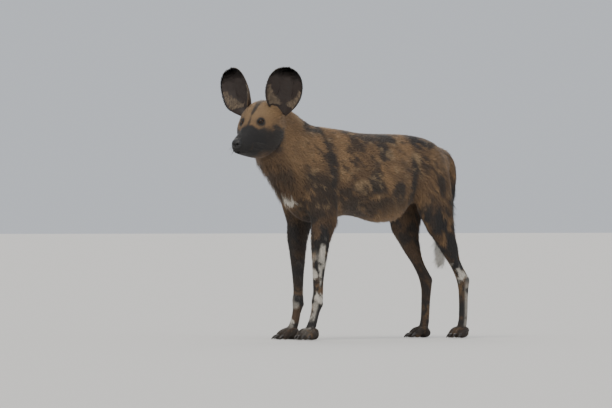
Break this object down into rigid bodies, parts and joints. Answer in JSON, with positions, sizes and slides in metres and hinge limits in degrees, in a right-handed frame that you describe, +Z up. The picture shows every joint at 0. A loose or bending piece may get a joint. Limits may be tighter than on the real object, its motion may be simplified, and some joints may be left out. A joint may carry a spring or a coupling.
{
  "type": "african wild dog",
  "caption": "African wild dog standing square, head turned a little to its left, large round ears up, ruffed throat, bushy hanging tail; life-size still model.",
  "frame": {"origin": "on the floor under the middle of the animal's box", "axes": "+Z up, -X the way the body faces, -Y the animal's left side"},
  "size_m": [1.0276, 0.2723, 0.861],
  "materials": {
    "coat_tan": "matte",
    "coat_black": "matte",
    "coat_white": "matte",
    "bare_skin": "satin",
    "claw": "satin",
    "eye": "gloss"
  },
  "bodies": {
    "root": {"head": "coat_black", "nose": "bare_skin", "eye_left": "eye", "eye_right": "eye", "ear_left": "coat_black", "ear_right": "coat_black", "neck": "coat_tan", "torso": "coat_tan", "tail_dock": "coat_tan", "tail_brush": "coat_white", "fore_upper_left": "coat_tan", "fore_upper_right": "coat_tan", "fore_arm_left": "coat_black", "fore_arm_right": "coat_black", "fore_pastern_left": "coat_white", "fore_pastern_right": "coat_white", "fore_paw_left": "coat_black", "fore_paw_right": "coat_black", "hind_thigh_left": "coat_tan", "hind_thigh_right": "coat_tan", "hind_shank_left": "coat_black", "hind_shank_right": "coat_black", "hind_cannon_left": "coat_white", "hind_cannon_right": "coat_white", "hind_paw_left": "coat_black", "hind_paw_right": "coat_black"}
  },
  "joints": []
}
